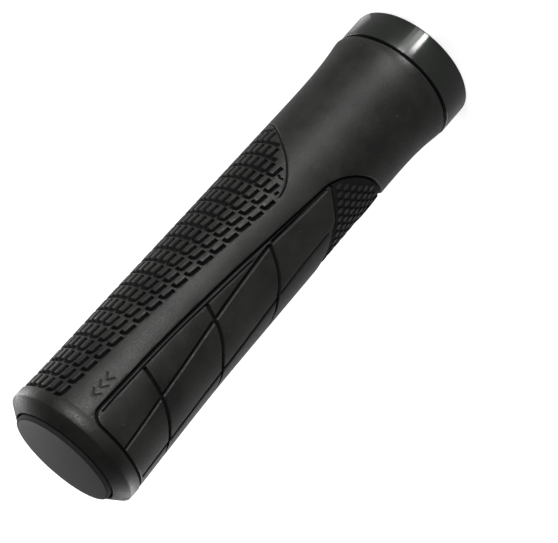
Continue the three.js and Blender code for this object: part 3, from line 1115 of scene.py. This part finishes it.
def white_backdrop():
    """Matt white paper, lit through from behind except round the grip, where it takes the grip's
    shadow. What the gloss of the grip sees is dimmer, as the paper is outside the lamps' reach."""
    material, tree = new_material("white paper")
    shadow_reach = 60 * MM
    open_floor = 350 * MM
    rays = add_node(tree, "ShaderNodeLightPath").outputs
    seen = add_node(tree, "ShaderNodeMath", {"operation": "MAXIMUM"}, {
        0: rays["Is Camera Ray"], 1: rays["Is Transmission Ray"],
    })
    away = add_node(tree, "ShaderNodeVectorMath", {"operation": "LENGTH"}, {
        0: add_node(tree, "ShaderNodeTexCoord").outputs["Object"],
    })
    lit_share = add_node(tree, "ShaderNodeMapRange", {"interpolation_type": "SMOOTHSTEP"}, {
        "Value": away.outputs["Value"], "From Min": shadow_reach, "From Max": open_floor,
        "To Min": 0.52, "To Max": 0.7,
    })
    mirrored_share = add_node(tree, "ShaderNodeMath", {"operation": "MULTIPLY"}, {
        0: rays["Is Glossy Ray"], 1: 0.5,
    })
    share = add_node(tree, "ShaderNodeMix", {"data_type": "FLOAT"}, {
        "Factor": seen.outputs[0], 2: mirrored_share.outputs[0], 3: lit_share.outputs["Result"],
    })
    strength = add_node(tree, "ShaderNodeMapRange", inputs={
        "Value": rays["Is Glossy Ray"], "To Min": 1.5, "To Max": 0.25,
    })
    paper = add_node(tree, "ShaderNodeBsdfDiffuse", inputs={"Color": linear("#f4f4f4")})
    glow = add_node(tree, "ShaderNodeEmission", inputs={
        "Color": linear("#ffffff"), "Strength": strength.outputs["Result"],
    })
    mixed = add_node(tree, "ShaderNodeMixShader", inputs={
        0: share.outputs[0], 1: paper.outputs[0], 2: glow.outputs[0],
    })
    add_node(tree, "ShaderNodeOutputMaterial", inputs={"Surface": mixed.outputs[0]})
    return material


def floor():
    signs = ((-1, -1), (1, -1), (1, 1), (-1, 1))
    corners = [(x * floor_reach, y * floor_reach, 0) for x, y in signs]
    made = mesh_object("floor", corners, faces=[(0, 1, 2, 3)])
    made.data.materials.append(white_backdrop())


def area_light(name, width, height, power):
    data = bpy.data.lights.new(name, "AREA")
    data.shape = "RECTANGLE"
    data.size, data.size_y = width, height
    data.energy = power
    return new_object(name, data)


def softbox(name, place, aim, width, height, power):
    """A soft light at a place that faces another. Sizes are metres."""
    light = area_light(name, width, height, power)
    light.location = place
    light.rotation_euler = (Vector(aim) - Vector(place)).to_track_quat("-Z", "Y").to_euler()


def floor_panel(name, azimuth, near, far, width, radiance):
    """A light panel let into the floor, which runs away from the grip. Sizes are millimetres."""
    length, width = (far - near) * MM, width * MM
    light = area_light(name, length, width, radiance * np.pi * length * width)
    middle = Matrix.Translation(((near + far) / 2 * MM, 0, floor_light_lift * MM))
    light.matrix_world = about_z(azimuth) @ middle @ Matrix.Rotation(np.pi, 4, "X")


def ring_strip(name, azimuth, width, radiance):
    """A glowing strip on the floor that the ring's side mirrors to the camera as an upright streak
    of one width. The ring spreads what it mirrors, so the strip widens as it runs away from it.
    Sizes are millimetres."""
    material, tree = new_material(name)
    glow = add_node(tree, "ShaderNodeEmission", inputs={
        "Color": linear("#ffffff"), "Strength": radiance,
    })
    add_node(tree, "ShaderNodeOutputMaterial", inputs={"Surface": glow.outputs[0]})
    near, far = ring_strip_ends
    corners = []
    for away, side in ((near, -1), (far, -1), (far, 1), (near, 1)):
        spread = (clamp_radius + 2 * away) / clamp_radius
        corners.append((away, side * spread * width / 2, floor_light_lift))
    made = mesh_object(name, corners, faces=[(0, 1, 2, 3)])
    made.data.materials.append(material)
    mirrored = 2 * azimuth - camera_azimuth
    foot = Matrix.Translation((clamp_radius * MM, 0, 0))
    made.matrix_world = about_z(azimuth) @ foot @ about_z(mirrored - azimuth)


def world_light():
    world = bpy.data.worlds.new("studio")
    bpy.context.scene.world = world
    world.use_nodes = True
    tree = world.node_tree
    tree.nodes.clear()
    rays = add_node(tree, "ShaderNodeLightPath").outputs
    seen = add_node(tree, "ShaderNodeMath", {"operation": "MAXIMUM"}, {
        0: rays["Is Camera Ray"], 1: rays["Is Transmission Ray"],
    })
    strength = add_node(tree, "ShaderNodeMapRange", inputs={
        "Value": seen.outputs[0], "To Min": 0.23, "To Max": 1,
    })
    sky = add_node(tree, "ShaderNodeBackground", inputs={
        "Color": linear("#ffffff"), "Strength": strength.outputs["Result"],
    })
    add_node(tree, "ShaderNodeOutputWorld", inputs={"Surface": sky.outputs[0]})


def camera():
    data = bpy.data.cameras.new("camera")
    data.lens = camera_lens
    data.sensor_width = 36
    data.clip_start = 0.01
    made = new_object("camera", data)
    right, up = Vector(camera_right), Vector(camera_up)
    back = right.cross(up).normalized()
    turned = Matrix((right, up, back)).transposed().to_4x4()
    made.matrix_world = Matrix.Translation(camera_place) @ turned
    bpy.context.scene.camera = made


floor()
world_light()
for lamp in softboxes:
    softbox(*lamp)
floor_panel(*front_panel)
for strip in ring_strips:
    ring_strip(*strip)
camera()
bpy.context.scene.view_settings.view_transform = "Standard"
